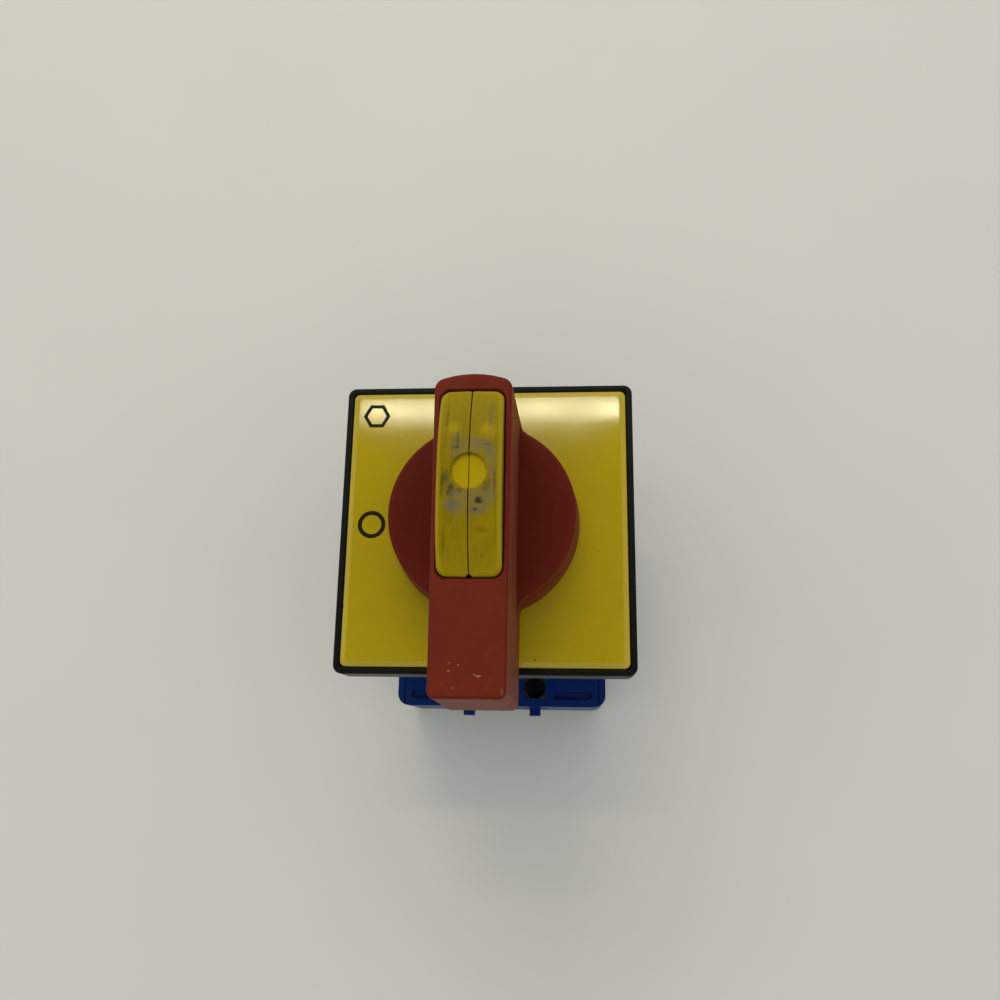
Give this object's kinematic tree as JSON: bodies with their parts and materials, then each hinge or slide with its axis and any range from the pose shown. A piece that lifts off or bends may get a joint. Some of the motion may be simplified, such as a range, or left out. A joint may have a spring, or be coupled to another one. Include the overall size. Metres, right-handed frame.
{
  "type": "rotary isolator switch",
  "caption": "Panel-mounted rotary isolator switch: square escutcheon with legend plate, hub-and-bar handle with a lifting padlock slide, latch, cam contact decks and screw terminals.",
  "frame": {"origin": "centre of the rear face, which is the face that the switch stands on", "axes": "+Z along the drive shaft from the rear cover to the handle; +Y towards the on mark at twelve o'clock; -X towards the off mark at nine o'clock"},
  "size_m": [0.064, 0.078, 0.1097],
  "materials": {
    "black_plastic": "moulded satin",
    "seal_rubber": "matte",
    "yellow_legend": "gloss with a printed yellow face",
    "mark_ink": "printed",
    "red_handle": "fine moulded texture, worn",
    "yellow_slide": "satin, worn",
    "blue_plastic": "moulded satin",
    "ivory_plastic": "moulded",
    "zinc_steel": "zinc plated",
    "spring_steel": "bright wire",
    "brass_strip": "stamped",
    "copper_bridge": "stamped"
  },
  "bodies": {
    "housing": {"escutcheon_frame": "black_plastic", "legend_plate": "yellow_legend", "legend_marks": "mark_ink", "shaft_seal": "seal_rubber", "panel_gasket": "seal_rubber", "mounting_flange": "black_plastic", "flange_screws": "zinc_steel", "latch_housing": "black_plastic", "detent_plungers": "ivory_plastic", "detent_springs": "spring_steel", "front_deck_housing": "blue_plastic", "rear_deck_housing": "blue_plastic", "rear_cover": "blue_plastic", "front_fixed_contacts": "brass_strip", "rear_fixed_contacts": "brass_strip", "terminal_cages": "zinc_steel", "terminal_screws": "zinc_steel", "tie_bolts": "zinc_steel", "tie_nuts": "zinc_steel", "front_return_spring_right": "spring_steel", "front_return_spring_left": "spring_steel", "rear_return_spring_right": "spring_steel", "rear_return_spring_left": "spring_steel"},
    "rotor": {"handle": "red_handle", "handle_screw": "zinc_steel", "handle_washer": "zinc_steel", "drive_shaft": "zinc_steel", "latch_rotor": "ivory_plastic", "front_cam": "ivory_plastic", "rear_cam": "ivory_plastic"},
    "lock_slide": {"lock_slide_left": "yellow_slide", "lock_slide_right": "yellow_slide", "lock_stop_pin": "zinc_steel"},
    "front_contact_right": {"front_carrier_right": "ivory_plastic", "front_bridge_right": "copper_bridge", "front_contact_spring_right": "spring_steel"},
    "front_contact_left": {"front_carrier_left": "ivory_plastic", "front_bridge_left": "copper_bridge", "front_contact_spring_left": "spring_steel"},
    "rear_contact_right": {"rear_carrier_right": "ivory_plastic", "rear_bridge_right": "copper_bridge", "rear_contact_spring_right": "spring_steel"},
    "rear_contact_left": {"rear_carrier_left": "ivory_plastic", "rear_bridge_left": "copper_bridge", "rear_contact_spring_left": "spring_steel"}
  },
  "joints": [
    {"name": "handle_turn", "type": "hinge", "parent": "housing", "child": "rotor", "pos_m": [0, 0, 0], "axis": [0, 0, 1], "range_deg": [0, 90]},
    {"name": "lock_slide_lift", "type": "slide", "parent": "rotor", "child": "lock_slide", "axis": [0, 0, 1], "range_m": [0, 0.012]},
    {"name": "front_contact_right_slide", "type": "slide", "parent": "housing", "child": "front_contact_right", "axis": [1, 0, 0], "range_m": [0, 0.0024], "deforming": ["front_return_spring_right"]},
    {"name": "front_contact_left_slide", "type": "slide", "parent": "housing", "child": "front_contact_left", "axis": [-1, 0, 0], "range_m": [0, 0.0024], "deforming": ["front_return_spring_left"]},
    {"name": "rear_contact_right_slide", "type": "slide", "parent": "housing", "child": "rear_contact_right", "axis": [1, 0, 0], "range_m": [0, 0.0024], "deforming": ["rear_return_spring_right"]},
    {"name": "rear_contact_left_slide", "type": "slide", "parent": "housing", "child": "rear_contact_left", "axis": [-1, 0, 0], "range_m": [0, 0.0024], "deforming": ["rear_return_spring_left"]}
  ],
  "couplings": [
    {"joint": "front_contact_right_slide", "follows": "handle_turn", "m_per_rad": 0.0015279},
    {"joint": "front_contact_left_slide", "follows": "handle_turn", "m_per_rad": 0.0015279},
    {"joint": "rear_contact_right_slide", "follows": "handle_turn", "m_per_rad": 0.0015279},
    {"joint": "rear_contact_left_slide", "follows": "handle_turn", "m_per_rad": 0.0015279}
  ]
}
